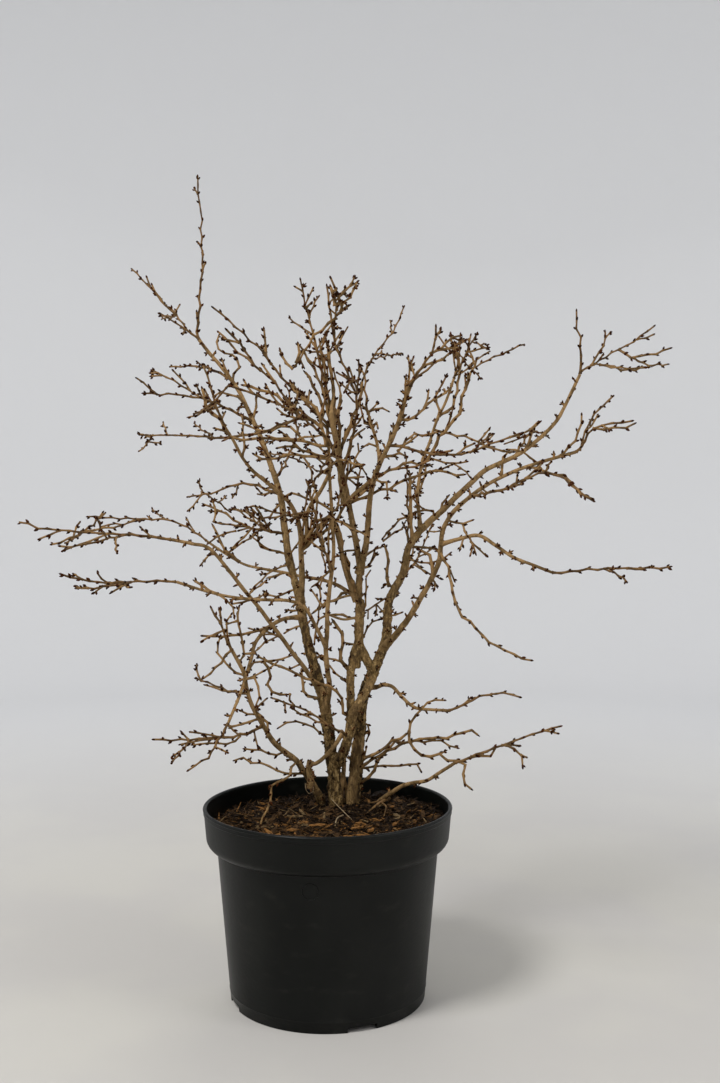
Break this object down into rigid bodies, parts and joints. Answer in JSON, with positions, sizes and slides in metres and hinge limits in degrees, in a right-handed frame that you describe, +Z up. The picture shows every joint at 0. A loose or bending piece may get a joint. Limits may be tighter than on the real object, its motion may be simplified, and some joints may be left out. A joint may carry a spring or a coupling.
{
  "type": "potted kojo-no-mai fuji cherry",
  "caption": "Bare winter shrub with several twiggy stems and small reddish buds, rooted in a round black nursery pot topped with bark mulch.",
  "frame": {"origin": "centre of the pot's flat underside", "axes": "+Z up along the pot's axis, -Y towards the front that the picture shows, +X to the picture's right"},
  "size_m": [0.7506, 0.4732, 0.9451],
  "materials": {
    "pot_plastic": "black moulded plastic, half matt, with fine scuffs",
    "bark_mulch": "loose shredded bark, dark reddish brown",
    "old_bark": "rough olive-brown bark with pale streaks and dark pores",
    "young_bark": "smooth tan bark with small pores",
    "twig_bark": "smooth light tan bark with dark reddish buds"
  },
  "bodies": {
    "root": {"pot": "pot_plastic", "mulch": "bark_mulch", "stem_left": "old_bark", "stem_middle": "old_bark", "stem_right": "old_bark", "stem_cross": "young_bark", "stem_low_left": "young_bark", "stem_low_right": "young_bark", "bough_inner_left": "young_bark", "bough_slim": "young_bark", "bough_centre_right": "young_bark", "bough_back": "young_bark", "bough_right": "young_bark", "bough_right_up": "young_bark", "bough_right_level": "young_bark", "bough_left_low": "young_bark", "bough_left_back": "young_bark", "bough_left_level": "young_bark", "bough_left_down": "young_bark", "bough_low_right": "young_bark", "twigs_top_left": "twig_bark", "twigs_upper_left_side": "twig_bark", "twigs_left_shoulder": "twig_bark", "twigs_left_side": "twig_bark", "twigs_left_inner": "twig_bark", "twigs_inner_left": "twig_bark", "twigs_front_left": "twig_bark", "twigs_front": "twig_bark", "twigs_upper_left": "twig_bark", "twigs_crown_left": "twig_bark", "twigs_crown_centre": "twig_bark", "twigs_crown_front": "twig_bark", "twigs_crown_back": "twig_bark", "twigs_back_left": "twig_bark", "twigs_right_mid": "twig_bark", "twigs_far_right": "twig_bark", "twigs_right_over": "twig_bark", "twigs_right": "twig_bark", "twigs_right_under": "twig_bark", "twigs_right_level": "twig_bark", "twigs_right_hanging": "twig_bark", "twigs_crown_right": "twig_bark", "twigs_inner_right": "twig_bark", "twigs_inner_middle": "twig_bark", "twigs_far_left": "twig_bark", "twigs_left_back": "twig_bark", "twigs_left_level": "twig_bark", "twigs_left_mid": "twig_bark", "twigs_left_mid_low": "twig_bark", "twigs_left_down": "twig_bark", "twigs_low_left": "twig_bark", "twigs_low_left_back": "twig_bark", "twigs_low_left_side": "twig_bark", "twigs_low_left_fan": "twig_bark", "twigs_low_left_droop": "twig_bark", "twigs_between": "twig_bark", "twigs_low_right": "twig_bark", "twigs_low_right_level": "twig_bark", "twigs_low_right_fan": "twig_bark", "twigs_back": "twig_bark"}
  },
  "joints": []
}
